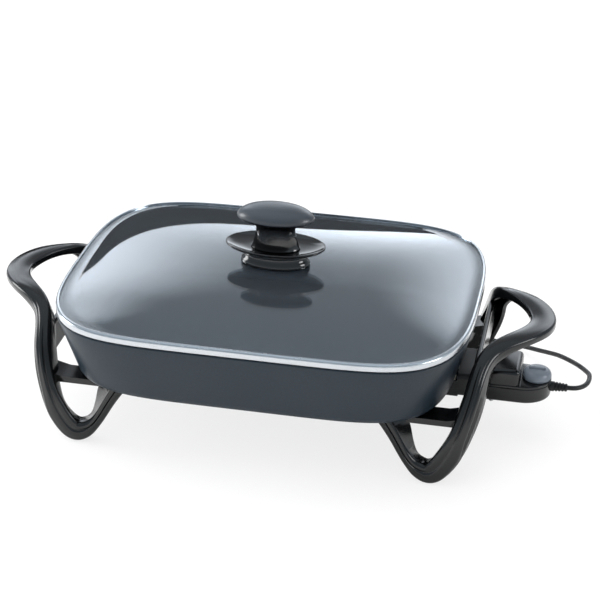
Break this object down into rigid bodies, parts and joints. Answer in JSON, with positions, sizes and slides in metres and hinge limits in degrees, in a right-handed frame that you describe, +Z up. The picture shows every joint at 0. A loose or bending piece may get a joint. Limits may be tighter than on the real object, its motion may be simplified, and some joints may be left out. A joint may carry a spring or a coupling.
{
  "type": "electric skillet",
  "caption": "Oblong non-stick electric skillet on looped leg-and-handle mouldings, with a lift-off glass lid and a plug-in heat control on a power cord",
  "frame": {"origin": "on the floor under the middle of the pan, between the four feet", "axes": "+X towards the end that carries the heat control, -Y towards the front, +Z up"},
  "size_m": [0.5922, 0.351, 0.2202],
  "materials": {
    "non_stick_coat": "satin dark blue-grey non-stick coat on cast aluminium",
    "black_phenolic": "semi-gloss black moulded phenolic",
    "gloss_black_knob": "gloss black",
    "polished_steel": "polished stainless steel",
    "plated_sheet_steel": "plated steel",
    "black_sheet_steel": "black painted sheet steel",
    "tempered_glass": "clear tempered glass",
    "element_sheath": "dull grey heating rod sheath",
    "white_ceramic": "unglazed white ceramic",
    "brass_contact": "plain brass",
    "black_rubber": "matt black cord jacket and rubber",
    "red_lens": "clear red lens",
    "dial_black": "satin black"
  },
  "bodies": {
    "skillet": {"pan": "non_stick_coat", "heating_element": "element_sheath", "terminal_insulator_front": "white_ceramic", "terminal_insulator_rear": "white_ceramic", "terminal_pin_front": "polished_steel", "terminal_pin_rear": "polished_steel", "probe_socket": "plated_sheet_steel", "terminal_guard": "black_sheet_steel", "guard_screw_front": "plated_sheet_steel", "guard_screw_rear": "plated_sheet_steel", "leg_handle_left": "black_phenolic", "leg_handle_right": "black_phenolic", "frame_screw_left_front": "plated_sheet_steel", "frame_screw_left_rear": "plated_sheet_steel", "frame_screw_right_front": "plated_sheet_steel", "frame_screw_right_rear": "plated_sheet_steel", "frame_washer_left_front": "plated_sheet_steel", "frame_washer_left_rear": "plated_sheet_steel", "frame_washer_right_front": "plated_sheet_steel", "frame_washer_right_rear": "plated_sheet_steel"},
    "lid": {"lid_glass": "tempered_glass", "lid_rim": "polished_steel", "knob_base": "gloss_black_knob", "knob_guard": "gloss_black_knob", "knob_grip": "gloss_black_knob", "knob_washer": "black_rubber", "knob_screw": "plated_sheet_steel"},
    "heat_control": {"control_housing": "black_phenolic", "control_cover": "black_phenolic", "control_screw_front": "plated_sheet_steel", "control_screw_rear": "plated_sheet_steel", "contact_front": "brass_contact", "contact_rear": "brass_contact", "thermostat_switch": "white_ceramic", "probe": "polished_steel", "indicator_lens": "red_lens", "strain_relief": "black_rubber", "cord": "black_rubber", "cord_coil": "black_rubber", "cord_end": "black_rubber", "coil_tie": "black_rubber", "plug_body": "black_rubber", "plug_blade_front": "brass_contact", "plug_blade_rear": "brass_contact"},
    "dial": {"control_dial": "dial_black", "dial_shaft": "polished_steel"}
  },
  "joints": [
    {"name": "lid_lift", "type": "slide", "parent": "skillet", "child": "lid", "axis": [0, 0, 1], "range_m": [0, 0.12]},
    {"name": "control_pull", "type": "slide", "parent": "skillet", "child": "heat_control", "axis": [1, 0, 0], "range_m": [0, 0.1]},
    {"name": "dial_turn", "type": "hinge", "parent": "heat_control", "child": "dial", "pos_m": [0.2626, 0, 0.062], "axis": [0, 0, 1], "range_deg": [0, 300]}
  ]
}
